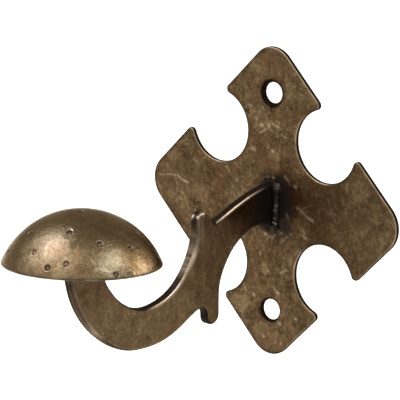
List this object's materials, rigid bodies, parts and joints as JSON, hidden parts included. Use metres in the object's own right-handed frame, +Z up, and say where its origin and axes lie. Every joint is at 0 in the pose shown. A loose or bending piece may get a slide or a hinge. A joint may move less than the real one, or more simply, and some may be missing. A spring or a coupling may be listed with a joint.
{
  "type": "coat hook",
  "caption": "Wall coat hook: cross-shaped backplate with screw holes, a flat curved arm with thorn and spur, and a hammered mushroom cap on its tip.",
  "frame": {"origin": "centre of the backplate's flat back face, midway between the two screw holes", "axes": "+Y points into the wall and -Y out towards the user, +Z is up, +X is to the right for someone facing the wall"},
  "size_m": [0.09, 0.0993, 0.09],
  "materials": {
    "plate_metal": "antique brass over steel sheet, dark mottled patina, worn edges",
    "arm_metal": "antique brass over steel bar, dark mottled patina, worn edges",
    "cap_metal": "antique brass over pressed steel, burnished, punch marked",
    "weld_metal": "dark, rough weld under the same antique finish"
  },
  "bodies": {
    "root": {"backplate": "plate_metal", "hook_arm": "arm_metal", "dome_cap": "cap_metal", "plate_weld": "weld_metal", "cap_weld": "weld_metal"}
  },
  "joints": []
}
